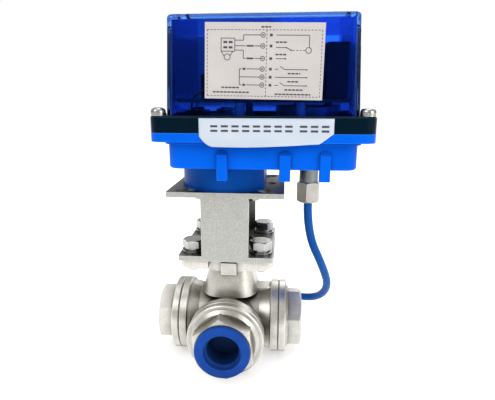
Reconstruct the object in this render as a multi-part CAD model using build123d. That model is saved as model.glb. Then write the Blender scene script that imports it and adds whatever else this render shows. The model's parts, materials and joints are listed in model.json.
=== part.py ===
from build123d import *
from math import acos, cos, pi, radians, sin, sqrt, tan
import os

os.makedirs("parts", exist_ok=True)

# A small electric actuator on a steel bracket turns a three-way stainless ball valve.
# Millimetres. Every piece is modelled about the centre of the ball: X runs along the straight
# flow path, -Y out of the branch port and Z up the stem. The last lines move the whole model so
# that its origin is the middle of the object's footprint, on the surface it stands on.

# Valve
port_reach = 40.0            # ball centre to the face of each port
flange_radius = 20.2         # body flanges and cap flanges, and the height of the ball above the floor
flange_start = 22.7          # inner face of a body flange
joint_plane = 27.3           # where a cap meets the body
cap_flange_end = 31.25       # outer face of a cap flange
hex_flats = 29.0
run_radius = 17.5            # cast pipe between the flanges
swell_radius = 18.9          # where a run widens into its flange
gasket_radius = 16.4
thread_radius = 9.32         # minor radius of a G1/2 thread
thread_depth = 12.4
thread_mouth = 1.3            # widening at the mouth of a thread
flow_radius = 7.5
ball_radius = 13.5
seat_gap = 0.3
chamber_radius = 14.2
pad_top = 42.2
pad_thickness = 4.8
pad_length = 48.8
pad_depth = 50.8
neck_width = 24.0
neck_corner = 7.0
flare_width = 31.0           # foot of the neck
flare_bottom = 17.0
flare_top = 31.0
packing_radius = 8.0
packing_bottom = 24.0
spring_radius = 10.4         # recess for the disc springs
spring_bottom = 38.4
stem_radius = 5.0
running_gap = 0.05
stem_top = 56.0
stem_square = 9.0
pad_bolt_offset = 25.0 / sqrt(2)     # four bolts on a 50 mm circle
plug_sleeve_radius = 9.2
plug_flange_radius = 14.1
plug_flange = 2.0
plug_depth = 12.0
plug_wall = 0.9

# Bracket
sheet = 2.6
bracket_depth = 53.2
bracket_leg_width = 23.8
lower_plate_length = 48.2
upper_plate_length = 58.6
lower_plate_top = pad_top + sheet
upper_plate_top = 77.9
upper_plate_bottom = upper_plate_top - sheet
face_screw_offset = 18.0 / sqrt(2)   # four screws on a 36 mm circle
slot_offset = 20.2
slot_width = 6.6
coupling_radius = 10.0
coupling_bottom = 47.8
coupling_shoulder = 72.6
coupling_top = 86.0
set_screw_level = 52.6
set_screw_radius = 1.9

# Actuator
box_x = 18.2                 # middle of the housing, to the right of the stem
base_bottom = 90.6
base_top = 107.6
base_length = 88.2
base_width = 66.0
rim_length = 102.2
rim_width = 75.0
rim_thickness = 4.1
frame_top = 115.2
cover_length = 88.4
cover_width = 66.4
cover_top = 158.8
cover_wall = 2.2
cover_draft = 2.5            # degrees
cover_lip = 3.0
wall = 2.5
floor_top = base_bottom + wall
tub_corner = 6.0
cover_corner = 5.0
lip_corner = 5.8
lip_bottom = base_top + 0.8
lip_top = 110.8
boss_radius = 25.0
boss_flat = 19.0
rim_screw_x = 46.8
rim_screw_y = 33.6
shaft_radius = 9.0
shaft_neck = 5.0

# Gear train: every wheel has 20 degree stub teeth
module = 0.8
pressure_angle = radians(20)
tooth_addendum = 0.75 * module
tooth_dedendum = 1.05 * module
tooth_thinning = 0.06
output_teeth = 40
idler_teeth = 36
pinion_teeth = 12
idler_x = module * (output_teeth + pinion_teeth) / 2
motor_x = idler_x + module * (idler_teeth + pinion_teeth) / 2
low_gears = (94.2, 98.6)     # output gear level
high_gears = (99.0, 101.8)   # idler wheel level
plate_bottom = 102.6
plate_top = 104.1
motor_radius = 16.0
motor_top = 119.4
board_bottom = 121.0
board_top = 122.6
cam_radius = 8.0
lobe_radius = 10.5
cam_levels = (106.0, 112.5)
cam_thickness = 2.6
switch_back = -21.4
switch_face = -12.4
switch_height = 6.2
switch_hole_x = -17.0
switch_hole_y = 7.0
plunger_radius = 1.0
motor_ear = 19.4             # middle of the motor to each of its screws

# Cable
gland_x = 43.0
gland_y = 15.0
gland_radius = 5.3
gland_nut_top = 76.2
gland_nut_bottom = 64.4
gland_flats = 12.2
cable_diameter = 5.0
cable_radius = cable_diameter / 2
floor_level = -flange_radius
cable_on_floor = floor_level + cable_radius + 0.5
coil_x = -7.0
coil_y = 47.0
coil_outer_turn = 30.2       # centre line of the outermost turn, at the start of the spiral
coil_turns = 2
coil_step = 5.2
core_radius = 0.65

# The free stretch of cable, from the gland to the coil
cable_route = [
    (gland_x, gland_y, gland_nut_bottom),
    (gland_x, gland_y, 46.0),
    (54.5, 23.5, 20.0),
    (59.1, 34.1, 3.6),
    (55.6, 45.6, -9.3),
    (46.0, 56.0, -16.4),
    (27.0, 65.0, cable_on_floor),
    (8.4, 73.0, cable_on_floor),
]

nodes = {}


def disc(radius, low, high, x=0.0, y=0.0):
    """A round bar along Z."""
    return Pos(x, y, (low + high) / 2) * Cylinder(radius, high - low)


def ring(outer, inner, low, high, x=0.0, y=0.0):
    return disc(outer, low, high, x, y) - disc(inner, low - 1, high + 1, x, y)


def block(x_range, y_range, z_range):
    """A plain block between two corners."""
    size = [high - low for low, high in (x_range, y_range, z_range)]
    middle = [(high + low) / 2 for low, high in (x_range, y_range, z_range)]
    return Pos(*middle) * Box(*size)


def rounded_block(length, width, corner, low, high, x=0.0, y=0.0, taper=0.0):
    outline = Pos(x, y, low) * RectangleRounded(length, width, corner)
    return extrude(outline, amount=high - low, taper=taper)


def hexagon_bar(flats, low, high, turn=0.0, x=0.0, y=0.0):
    outline = Pos(x, y, low) * (Rot(0, 0, turn) * RegularPolygon(flats / sqrt(3), 6))
    return extrude(outline, amount=high - low)


def square_bar(side, low, high, corner=0.8):
    return rounded_block(side, side, corner, low, high)


def four_places(offset_x, offset_y, x=0.0, y=0.0):
    return [(x + sx * offset_x, y + sy * offset_y) for sx in (-1, 1) for sy in (-1, 1)]


def joined(pieces):
    """Several overlapping solids as one."""
    whole = pieces[0]
    for piece in pieces[1:]:
        whole = whole + piece
    return whole


def group(pieces):
    """Several separate solids in one node."""
    return Compound([solid for piece in pieces for solid in piece.solids()])


def toward(direction):
    """Turns a piece built along +Z to point out of one of the three ports."""
    turns = {"right": Rot(0, 90, 0), "left": Rot(0, -90, 0), "front": Rot(90, 0, 0)}
    return turns[direction]


# ---- valve ----

def make_valve_body():
    """Cast body: two runs and a branch, the neck and the square mounting pad."""
    run_end = flange_start + 0.2
    cast = [Sphere(run_radius + 0.9), Rot(0, 90, 0) * disc(run_radius, -run_end, run_end)]
    cast.append(toward("front") * disc(run_radius - 0.2, 0, run_end))
    for direction in ("right", "left", "front"):
        swell = Pos(0, 0, flange_start - 3) * Cone(run_radius, swell_radius, 6)
        flange = disc(flange_radius, flange_start, joint_plane)
        flange = chamfer(flange.edges(), 0.5)
        cast += [toward(direction) * swell, toward(direction) * flange]
    cast.append(rounded_block(neck_width, neck_width, neck_corner, 22.0, pad_top - 1))
    foot = Pos(0, 0, flare_bottom) * RectangleRounded(flare_width, flare_width, 11.0)
    waist = Pos(0, 0, flare_top) * RectangleRounded(neck_width, neck_width, neck_corner)
    cast.append(loft([foot.face(), waist.face()]))
    rib_on_run = block((9.0, flange_start + 0.5), (-5.0, 5.0), (10.0, 18.6))
    pad = rounded_block(pad_length, pad_depth, 8.0, pad_top - pad_thickness, pad_top)
    pad = pad - block((-9.0, 9.0), (-30.0, -22.4), (30.0, 50.0))
    pad = pad - block((-9.0, 9.0), (-30.0, -12.5), (30.0, pad_top - 1.4))
    cast_plate = block((-4.2, 4.3), (-13.4, -11.0), (29.4, 36.0))
    body = joined(cast + [rib_on_run, pad, cast_plate])
    body = body - Rot(0, 90, 0) * disc(chamber_radius, -joint_plane - 1, joint_plane + 1)
    body = body - toward("front") * disc(chamber_radius - 0.1, 0, joint_plane + 1)
    for direction in ("right", "left", "front"):
        body = body - toward(direction) * disc(gasket_radius, joint_plane - 1.2, joint_plane + 1)
    body = body - Sphere(chamber_radius - 0.2)
    body = body - disc(stem_radius + running_gap, 5, pad_top + 1)
    body = body - disc(7.2, 8, 17.2) - disc(6.4, 19.2, 21.4)
    body = body - disc(packing_radius, packing_bottom, pad_top + 1)
    body = body - disc(spring_radius, spring_bottom, pad_top + 1)
    for x, y in four_places(pad_bolt_offset, pad_bolt_offset):
        body = body - disc(3.0, 30, 50, x, y)
    return body


def make_end_cap(hex_turn):
    """Threaded end cap along +Z: flange, hexagon, spigot and G1/2 socket."""
    flange = chamfer(disc(flange_radius, joint_plane, cap_flange_end).edges(), 0.5)
    collar = Pos(0, 0, cap_flange_end + 0.7) * Cone(18.0, 16.2, 1.4)
    hex_corner = hex_flats / sqrt(3)
    turned = disc(hex_corner, cap_flange_end - 1, port_reach - 1.2)
    turned = turned + Pos(0, 0, port_reach - 0.6) * Cone(hex_corner, hex_flats / 2, 1.2)
    hexagon = hexagon_bar(hex_flats, cap_flange_end - 1, port_reach, hex_turn) & turned
    spigot = disc(chamber_radius - 0.2, 16.7, joint_plane + 1)
    cap = flange + collar + hexagon + spigot
    cap = cap - disc(thread_radius, port_reach - thread_depth, port_reach + 1)
    cap = cap - disc(flow_radius, 0, port_reach)
    mouth = Pos(0, 0, port_reach - 0.6) * Cone(thread_radius, thread_radius + thread_mouth, thread_mouth)
    return cap - mouth


def make_seat():
    """PTFE seat along +Z, hollowed to the ball."""
    seat = ring(chamber_radius - 0.2, flow_radius, 10.6, 16.6)
    return seat - Sphere(ball_radius + seat_gap)


def make_gasket():
    return ring(gasket_radius - 0.1, chamber_radius + 0.1, joint_plane - 1.1, joint_plane)


def make_ball():
    """T-bored ball: a straight bore along X and a branch to the front."""
    ball = Sphere(ball_radius)
    ball = ball - Rot(0, 90, 0) * Cylinder(flow_radius, 40)
    ball = ball - toward("front") * disc(flow_radius - 0.15, 0, 20)
    return ball - block((-8.0, 8.0), (-2.1, 2.1), (9.4, 15.0))


def make_stem():
    stem = block((-5.5, 5.5), (-2.0, 2.0), (9.6, 14.5)) & disc(6.0, 9.0, 15.0)
    stem = stem + disc(6.9, 13.9, 15.8) + disc(stem_radius, 15.0, 47.2)
    return stem + (square_bar(stem_square, 46.0, stem_top) & disc(6.1, 46.0, stem_top))


def make_valve():
    nodes["valve_body"] = make_valve_body()
    hex_turns = {"right": 12.0, "left": 1.0, "front": 36.5}
    seats = []
    gaskets = []
    for direction, turn in hex_turns.items():
        nodes[direction + "_end_cap"] = toward(direction) * make_end_cap(turn)
        seats.append(toward(direction) * make_seat())
        gaskets.append(toward(direction) * make_gasket())
    nodes["ball_seats"] = group(seats)
    nodes["cap_gaskets"] = group(gaskets)
    nodes["valve_ball"] = make_ball()
    nodes["valve_stem"] = make_stem()
    inner = stem_radius + running_gap
    nodes["thrust_washer"] = ring(7.1, inner, 16.0, 17.1)
    packing = [packing_bottom + 2.6 * k for k in range(3)]
    o_ring = ring(6.3, inner, 19.3, 21.3)
    packing_rings = [ring(packing_radius - 0.1, inner, low, low + 2.5) for low in packing]
    nodes["stem_packing"] = group(packing_rings + [o_ring])
    nodes["packing_gland"] = ring(packing_radius - 0.1, inner, packing_bottom + 7.8, spring_bottom - 0.8)
    springs = (spring_bottom + 0.2, spring_bottom + 1.2)
    nodes["disc_springs"] = group([ring(8.4, stem_radius + 0.1, low, low + 0.8) for low in springs])
    nodes["stem_nut"] = hexagon_bar(15.0, 40.6, 45.2) - disc(stem_radius + 0.02, 40, 46)
    nodes["front_port_plug"] = toward("front") * make_plug()


def make_plug():
    """Moulded dust plug: a flange, a thin sleeve in the thread and a closed end."""
    seat = port_reach + 0.1
    bottom = port_reach - plug_depth
    bore = plug_sleeve_radius - plug_wall
    flange = ring(plug_flange_radius, plug_sleeve_radius + 0.2, seat, seat + plug_flange)
    flange = fillet(flange.edges().filter_by(GeomType.CIRCLE).group_by(Axis.Z)[-1], 0.5)
    sleeve = ring(plug_sleeve_radius, bore, bottom, port_reach + 0.5)
    end = disc(plug_sleeve_radius, bottom, bottom + 1)
    lead_in = ring(plug_sleeve_radius + 0.9, plug_sleeve_radius - 0.2, seat, seat + 0.8)
    funnel = Pos(0, 0, port_reach - 0.2) * Cone(bore, plug_sleeve_radius + 0.2, 1.4)
    return flange + sleeve + end + lead_in - funnel


# ---- bracket and coupling ----

def make_bracket():
    """Plates and legs of one square tube with its sides cut back to the legs."""
    half_depth = bracket_depth / 2
    leg = bracket_leg_width / 2
    lower = rounded_block(lower_plate_length, bracket_depth, 1.2, pad_top, lower_plate_top)
    upper = rounded_block(upper_plate_length, bracket_depth, 1.2, upper_plate_bottom, upper_plate_top)
    bracket = lower + upper
    for side in (-1, 1):
        faces = sorted((side * half_depth, side * (half_depth - sheet)))
        bracket = bracket + block((-leg, leg), faces, (pad_top + 0.5, upper_plate_top - 0.5))
    bracket = bracket - disc(13.0, pad_top - 1, lower_plate_top + 1)
    bracket = bracket - disc(14.0, upper_plate_bottom - 1, upper_plate_top + 1)
    for x, y in four_places(pad_bolt_offset, pad_bolt_offset):
        bracket = bracket - disc(3.3, pad_top - 1, lower_plate_top + 1, x, y)
    for x, y in four_places(face_screw_offset, face_screw_offset):
        bracket = bracket - disc(2.75, upper_plate_bottom - 1, upper_plate_top + 1, x, y)
    for x, y in four_places(slot_offset, slot_offset):
        slot = extrude(SlotCenterToCenter(4.6, slot_width), amount=sheet + 2)
        turn = 45 if x * y > 0 else -45
        bracket = bracket - Pos(x, y, upper_plate_bottom - 1) * Rot(0, 0, turn) * slot
    for side in (-1, 1):
        bracket = bracket - disc(3.5, upper_plate_bottom - 1, upper_plate_top + 1, side * 21.2, 0)
    return bracket


def make_bolt(flats, head, thread, length, x, y, head_low, head_down=False):
    """Hexagon bolt. The head sits on head_low, or hangs from it when head_down is true."""
    up = -1 if head_down else 1
    head_range = sorted((head_low, head_low + up * head))
    shank = sorted((head_low + up * 0.2, head_low - up * length))
    bolt = hexagon_bar(flats, *head_range, turn=x * 3, x=x, y=y)
    corner = flats / sqrt(3)
    crown = Rot(180 if head_down else 0, 0, 0) * Cone(corner, flats / 2 - 0.1, 0.6)
    crown = Pos(x, y, head_low + up * (head - 0.3)) * crown
    body_range = sorted((head_low, head_low + up * (head - 0.6)))
    bolt = bolt & (disc(corner, *body_range, x, y) + crown)
    return bolt + disc(thread / 2, *shank, x, y)


def make_bracket_group():
    nodes["mounting_bracket"] = make_bracket()
    washer_top = lower_plate_top + 1.2
    spring_top = washer_top + 1.4
    places = four_places(pad_bolt_offset, pad_bolt_offset)
    nodes["pad_bolts"] = group([make_bolt(10.0, 4.0, 5.9, 12.6, x, y, spring_top) for x, y in places])
    washers = [ring(5.9, 3.1, lower_plate_top, washer_top, x, y) for x, y in places]
    lock = [ring(4.8, 3.1, washer_top, spring_top, x, y) for x, y in places]
    split = [block((x + 3.0, x + 5.5), (y - 0.3, y + 0.3), (washer_top, spring_top)) for x, y in places]
    nodes["pad_washers"] = group(washers + [turn - gap for turn, gap in zip(lock, split)])
    places = four_places(face_screw_offset, face_screw_offset)
    nodes["bracket_screws"] = group(
        [make_bolt(8.0, 3.5, 4.1, 13.0, x, y, upper_plate_bottom, head_down=True) for x, y in places])
    coupling = chamfer(disc(coupling_radius, coupling_bottom, coupling_shoulder).edges(), 0.6)
    coupling = coupling + square_bar(stem_square, coupling_shoulder - 0.6, coupling_top)
    coupling = coupling - square_bar(stem_square + 0.2, coupling_bottom - 0.8, stem_top + 0.6)
    across = Pos(0, 0, set_screw_level) * Rot(90, 0, 0)
    nodes["drive_coupling"] = coupling - across * disc(set_screw_radius, 4.2, coupling_radius + 2)
    nodes["coupling_screw"] = across * disc(set_screw_radius - 0.05, 4.8, coupling_radius - 0.1)


# ---- actuator housing ----

def rib(x, width, side):
    """A locating post on the long wall of the base, pointed at the top."""
    depth = 5.0
    shoulder = 97.5
    middle = side * (base_width / 2 - 0.9)
    y_range = (middle - depth / 2, middle + depth / 2)
    low = block((x - width / 2, x + width / 2), y_range, (base_bottom - 5, shoulder))
    low = fillet(low.edges().filter_by(Axis.Z), 0.8)
    point = Pos(x, middle, shoulder) * Rectangle(width, depth)
    tip = Pos(x, middle - side, shoulder + 3.1) * Rectangle(1.0, 3.0)
    return low + loft([point.face(), tip.face()])


def make_base():
    """Moulded base: tub, rim, boss for the bracket and the posts on its long walls."""
    rim_bottom = base_top - rim_thickness
    tub = rounded_block(base_length, base_width, tub_corner, base_bottom, base_top, box_x)
    tub = fillet(tub.edges().group_by(Axis.Z)[0], 1.2)
    rim = rounded_block(rim_length, rim_width, tub_corner, rim_bottom, base_top, box_x)
    step_bottom = rim_bottom - 1.3
    step = rounded_block(base_length + 3, base_width + 3, tub_corner + 1, step_bottom, rim_bottom + 3, box_x)
    boss = disc(boss_radius, upper_plate_top, base_bottom + 1)
    boss = boss + disc(boss_radius + 0.6, upper_plate_top, upper_plate_top + 0.8)
    boss = boss - block((boss_flat, 40.0), (-40.0, 40.0), (70.0, base_bottom))
    post_places = ((0.1, 4.9), (29.2, 5.2), (47.4, 4.9))
    posts = [rib(x, width, side) for side in (-1, 1) for x, width in post_places]
    base = joined([tub, rim, step, boss] + posts)
    inside = rounded_block(base_length - 2 * wall, base_width - 2 * wall, 3.5, floor_top, base_top + 1, box_x)
    base = base - inside + disc(3.4, floor_top - 1, low_gears[0] - 0.5, idler_x)
    base = base + disc(7.6, base_bottom - 1.2, base_bottom + 1, gland_x, gland_y)
    base = base - disc(12.2, 70, floor_top + 1) - disc(1.5, 91.6, 100, idler_x)
    base = base - disc(4.6, 80, floor_top + 1, gland_x, gland_y)
    for x, y in four_places(face_screw_offset, face_screw_offset):
        base = base - disc(2.1, 70, base_bottom, x, y)
    for x, y in four_places(rim_screw_x, rim_screw_y, box_x):
        base = base - disc(1.6, base_top - 3.5, base_top + 1, x, y)
    return base


def make_cover_frame():
    """Frame that clamps the cover's lip to the base."""
    outline = rounded_block(rim_length, rim_width, tub_corner, base_top, frame_top, box_x)
    outline = chamfer(outline.edges().group_by(Axis.Z)[-1], 0.7)
    fit = 0.4
    low = base_top - 1
    opening_corner = cover_corner + fit / 2
    opening = rounded_block(cover_length + fit, cover_width + fit, opening_corner, low, frame_top + 1, box_x)
    lip_length = cover_length + 2 * cover_lip + fit
    lip_width = cover_width + 2 * cover_lip + fit
    recess = rounded_block(lip_length, lip_width, lip_corner + 0.2, low, lip_top + 0.2, box_x)
    frame = outline - opening - recess
    for x, y in four_places(rim_screw_x, rim_screw_y, box_x):
        frame = frame + (disc(3.6, base_top, frame_top - 0.7, x, y) & outline)
        frame = frame - disc(2.1, base_top - 1, frame_top + 1, x, y)
    return frame


def make_cover():
    """Drafted cover with a lip at its open edge."""
    straight_top = frame_top - 0.2
    skirt = rounded_block(cover_length, cover_width, cover_corner, lip_bottom, straight_top, box_x)
    upper = rounded_block(cover_length, cover_width, cover_corner, straight_top, cover_top, box_x,
                          taper=cover_draft)
    shell = skirt + upper
    shell = fillet(shell.edges().group_by(Axis.Z)[-1], 1.6)
    lip_length = cover_length + 2 * cover_lip
    lip_width = cover_width + 2 * cover_lip
    lip = rounded_block(lip_length, lip_width, lip_corner, lip_bottom, lip_top, box_x)
    for x, y in four_places(rim_screw_x, rim_screw_y, box_x):
        lip = lip - disc(4.5, base_top, lip_top + 1, x, y)
    inner_length = cover_length - 2 * cover_wall
    inner_width = cover_width - 2 * cover_wall
    hollow = rounded_block(inner_length, inner_width, 3.0, base_top - 1, straight_top, box_x)
    ceiling = cover_top - cover_wall
    hollow = hollow + rounded_block(inner_length, inner_width, 3.0, straight_top, ceiling, box_x,
                                    taper=cover_draft)
    return shell + lip - hollow


def make_pan_screw(x, y, seat, head_radius, head, thread, length):
    """Cross-recessed pan head screw standing on seat."""
    top = fillet(disc(head_radius, seat, seat + head, x, y).edges().group_by(Axis.Z)[-1], head * 0.55)
    screw = top + disc(thread, seat - length, seat + 0.2, x, y)
    slot = head_radius * 0.5
    for size_x, size_y in ((slot, 0.45), (0.45, slot)):
        screw = screw - block((x - size_x, x + size_x), (y - size_y, y + size_y),
                              (seat + head * 0.45, seat + head + 1))
    return screw


def on_cover_front(outline_x, low, high, proud, thickness):
    """Thin plate on the drafted front wall: outline_x is its left and right edge."""
    lean = tan(radians(cover_draft))
    straight_top = frame_top - 0.2

    def front(z):
        return -cover_width / 2 + lean * (z - straight_top) - proud

    back = [(front(low), low), (front(high), high)]
    face = [(y - thickness, z) for y, z in reversed(back)]
    side = Plane.YZ * make_face(Polyline(*back, *face, close=True))
    return Pos(outline_x[0], 0, 0) * extrude(side, amount=outline_x[1] - outline_x[0])


def make_housing():
    nodes["actuator_base"] = make_base()
    nodes["cover_frame"] = make_cover_frame()
    nodes["actuator_cover"] = make_cover()
    lip_length = cover_length + 2 * cover_lip
    lip_width = cover_width + 2 * cover_lip
    gasket = rounded_block(lip_length, lip_width, lip_corner, base_top, lip_bottom, box_x)
    gasket = gasket - rounded_block(base_length - 2 * wall, base_width - 2 * wall, 3.5, 100, 120, box_x)
    for x, y in four_places(rim_screw_x, rim_screw_y, box_x):
        gasket = gasket - disc(4.5, 100, 120, x, y)
    nodes["cover_gasket"] = gasket
    places = four_places(rim_screw_x, rim_screw_y, box_x)
    nodes["cover_screws"] = group([make_pan_screw(x, y, frame_top, 3.4, 3.6, 1.6, 10.6) for x, y in places])
    about_middle = Pos(19.2, 0, 138.5) * Rot(0, 1.0, 0) * Pos(-19.2, 0, -138.5)    # stuck on a degree askew
    nodes["wiring_label"] = about_middle * on_cover_front((-6.9, 45.1), 122.4, 154.6, 0.2, 0.15)
    note_front = -rim_width / 2
    note = block((-9.4, 50.2), (note_front - 0.2, note_front), (102.4, 114.3))
    nodes["note_sticker"] = fillet(note.edges().filter_by(Axis.Y), 2.0)


# ---- drive ----

def involute(angle):
    return tan(angle) - angle


def gear_outline(teeth, turn):
    """Outline of a spur gear with its first tooth at the given turn in degrees."""
    pitch = module * teeth / 2
    base = pitch * cos(pressure_angle)
    tip = pitch + tooth_addendum
    root = pitch - tooth_dedendum
    half = pi / (2 * teeth) - tooth_thinning / pitch
    flank_radii = [max(base, root) + (tip - max(base, root)) * step for step in (0, 0.35, 0.7, 1.0)]
    flank = [(r, half + involute(pressure_angle) - involute(acos(base / r))) for r in flank_radii]
    flank = [(root, flank[0][1])] * (root < base) + flank
    points = []
    for tooth in range(teeth):
        middle = radians(turn) + 2 * pi * tooth / teeth
        points += [(r * cos(middle - a), r * sin(middle - a)) for r, a in flank]
        points += [(r * cos(middle + a), r * sin(middle + a)) for r, a in reversed(flank)]
    return make_face(Polyline(*points, close=True))


def gear(teeth, turn, low, high, x):
    return Pos(x, 0, low) * extrude(gear_outline(teeth, turn), amount=high - low)


def make_cam(low, lobe_turn):
    """Cam disc with one lobe that presses the limit switch."""
    cam = disc(cam_radius, low, low + cam_thickness)
    high = low + cam_thickness
    lobe = block((0, lobe_radius), (-2.4, 2.4), (low, high)) & disc(lobe_radius, low, high)
    return cam + Rot(0, 0, lobe_turn) * lobe - disc(shaft_neck, low - 1, high + 1)


def make_drive():
    half_pitch = 180 / pinion_teeth
    shaft = disc(shaft_radius, 80.6, 93.6) + disc(shaft_neck, 93.0, 118.2)
    nodes["output_shaft"] = shaft - square_bar(stem_square + 0.1, 80.0, 87.0)
    wheel = gear(output_teeth, 0, *low_gears, 0) + disc(7.0, low_gears[0] - 0.5, low_gears[1] + 0.2)
    nodes["output_gear"] = wheel - disc(shaft_neck, 90, 110)
    lower_bush = ring(12.1, shaft_radius + running_gap, 80.8, 93.2)
    upper_bush = ring(7.0, shaft_neck + running_gap, plate_bottom - 0.7, plate_top + 0.9)
    nodes["shaft_bushes"] = group([lower_bush, upper_bush])
    nodes["shaft_seal"] = ring(12.0, shaft_radius + 1.2, upper_plate_top + 0.2, 80.6)
    nodes["shut_cam"] = make_cam(cam_levels[0], 100)
    nodes["open_cam"] = make_cam(cam_levels[1], 190)
    nodes["shaft_clip"] = ring(7.0, shaft_neck, 116.4, 117.4)

    idler = gear(pinion_teeth, half_pitch, low_gears[0], high_gears[0] + 0.1, idler_x)
    idler = idler + gear(idler_teeth, 0, *high_gears, idler_x)
    nodes["idler_gear"] = idler - disc(1.5 + running_gap, 90, 110, idler_x)
    nodes["idler_axle"] = disc(1.5, 91.8, plate_top, idler_x)

    pinion = gear(pinion_teeth, half_pitch, high_gears[0] - 0.2, high_gears[1] + 0.2, motor_x)
    nodes["motor_pinion"] = pinion - disc(1.5, 90, 110, motor_x)
    nodes["motor_shaft"] = disc(1.5, 98.2, 108.0, motor_x)


def make_motor():
    can = disc(motor_radius, plate_top, motor_top, motor_x)
    can = fillet(can.edges().group_by(Axis.Z)[-1], 1.0)
    ears = rounded_block(8.0, 46.0, 3.9, plate_top, plate_top + 1.0, motor_x)
    motor = can + ears - disc(1.5 + running_gap, 100, 109, motor_x)
    for side in (-1, 1):
        motor = motor - disc(1.6, 100, 106, motor_x, side * motor_ear)
    return motor


def make_switch(low):
    """Limit switch body with a guide hole for its plunger."""
    body = block((switch_back, switch_face), (-10.0, 10.0), (low, low + switch_height))
    body = fillet(body.edges().filter_by(Axis.Z), 0.5)
    for y in (-switch_hole_y, switch_hole_y):
        body = body - disc(1.3, low - 1, low + 8, switch_hole_x, y)
    guide = disc(plunger_radius + running_gap, switch_face - 4.2, switch_face + 0.4)
    return body - Pos(0, 0, low + switch_height / 2) * Rot(0, 90, 0) * guide


def make_plunger(low):
    stalk = Rot(0, 90, 0) * disc(plunger_radius, switch_face - 3.0, switch_face + 1.2)
    stalk = Pos(0, 0, low + switch_height / 2) * stalk
    return fillet(stalk.edges().group_by(Axis.X)[-1], 0.5)


def make_inner_lead():
    """Cable inside the gland and the base, up to the terminal block."""
    corner_x = 53.0
    corner_y = 24.0
    route = [(gland_x, gland_y, gland_nut_bottom), (gland_x, gland_y, 97.0)]
    route += [(corner_x, corner_y, 103.0), (corner_x, corner_y, board_bottom)]
    path = FilletPolyline(*route, radius=4.5)
    return sweep(Plane(path @ 0, z_dir=path % 0) * Circle(2.3), path=path)


def make_gear_box_plates():
    plate = block((-20.0, 57.0), (-28.5, 28.5), (plate_bottom, plate_top))
    plate = plate - block((46.0, 60.0), (17.0, 30.0), (100.0, 110.0)) - disc(7.0, 100, 110)
    plate = plate - disc(1.5, 100, 110, idler_x) - disc(4.0, 100, 110, motor_x)
    for side in (-1, 1):
        plate = plate - disc(1.4, 100, 110, motor_x, side * motor_ear)
    pillar_places = [(-16.5, -25.0), (-16.5, 25.0), (53.5, -25.0), (28.0, 25.0)]
    for x, y in pillar_places:
        plate = plate - disc(1.6, 100, 110, x, y)
    nodes["gear_plate"] = plate
    pillars = [hexagon_bar(5.5, floor_top, plate_bottom, 0, x, y) - disc(1.3, 95, 110, x, y)
               for x, y in pillar_places]
    nodes["plate_pillars"] = group(pillars)
    screws = [make_pan_screw(x, y, plate_top, 2.6, 1.8, 1.25, 6.0) for x, y in pillar_places]
    ears = (-motor_ear, motor_ear)
    screws += [make_pan_screw(motor_x, y, plate_top + 1.0, 2.6, 1.8, 1.35, 3.4) for y in ears]
    holes = (-switch_hole_y, switch_hole_y)
    screws += [make_pan_screw(switch_hole_x, y, plate_top + 12.7, 2.2, 1.4, 1.2, 12.6) for y in holes]
    nodes["plate_screws"] = group(screws)
    nodes["gear_motor"] = make_motor()


def make_electrics():
    switch_levels = (plate_top, plate_top + 6.5)
    nodes["limit_switches"] = group([make_switch(level) for level in switch_levels])
    for name, level in zip(("shut", "open"), switch_levels):
        nodes[name + "_plunger"] = make_plunger(level)

    board = rounded_block(78.0, 58.0, 2.0, board_bottom, board_top, box_x)
    post_places = four_places(14.0, 26.0, 22.0)
    for x, y in post_places:
        board = board - disc(1.5, 120, 124, x, y)
    nodes["circuit_board"] = board - disc(2.6, 120, 124, 53.0, 24.0)
    nodes["board_posts"] = group([disc(2.2, plate_top, board_bottom, x, y) for x, y in post_places])
    screws = [make_pan_screw(x, y, board_top, 2.4, 1.6, 1.2, 1.5) for x, y in post_places]
    nodes["board_screws"] = group(screws)

    terminals = block((8.0, 44.0), (12.0, 21.0), (board_top, board_top + 11.0))
    for k in range(5):
        x = 12.0 + 7.0 * k
        terminals = terminals - disc(2.2, board_top + 7, board_top + 12, x, 16.0)
        terminals = terminals - block((x - 1.8, x + 1.8), (20.0, 22.0), (board_top + 1.5, board_top + 5.5))
    nodes["terminal_block"] = terminals
    nodes["capacitor"] = fillet(block((46.2, 56.6), (-27.5, -17.0), (board_top, 147.0)).edges(), 1.0)
    relays = [block((x, x + 12.0), (-6.0, 8.0), (board_top, board_top + 12.0)) for x in (-14.0, 2.0)]
    relays = [fillet(relay.edges().filter_by(Axis.Z), 0.6) for relay in relays]
    small = [block((x, x + 6.0), (-24.0, -20.5), (board_top, board_top + 2.2)) for x in (-10.0, 0.0, 20.0)]
    nodes["board_parts"] = group(relays + small + [disc(3.0, board_top, board_top + 9.0, 34.0, -16.0)])
    nodes["inner_lead"] = make_inner_lead()


# ---- gland and cable ----

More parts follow.
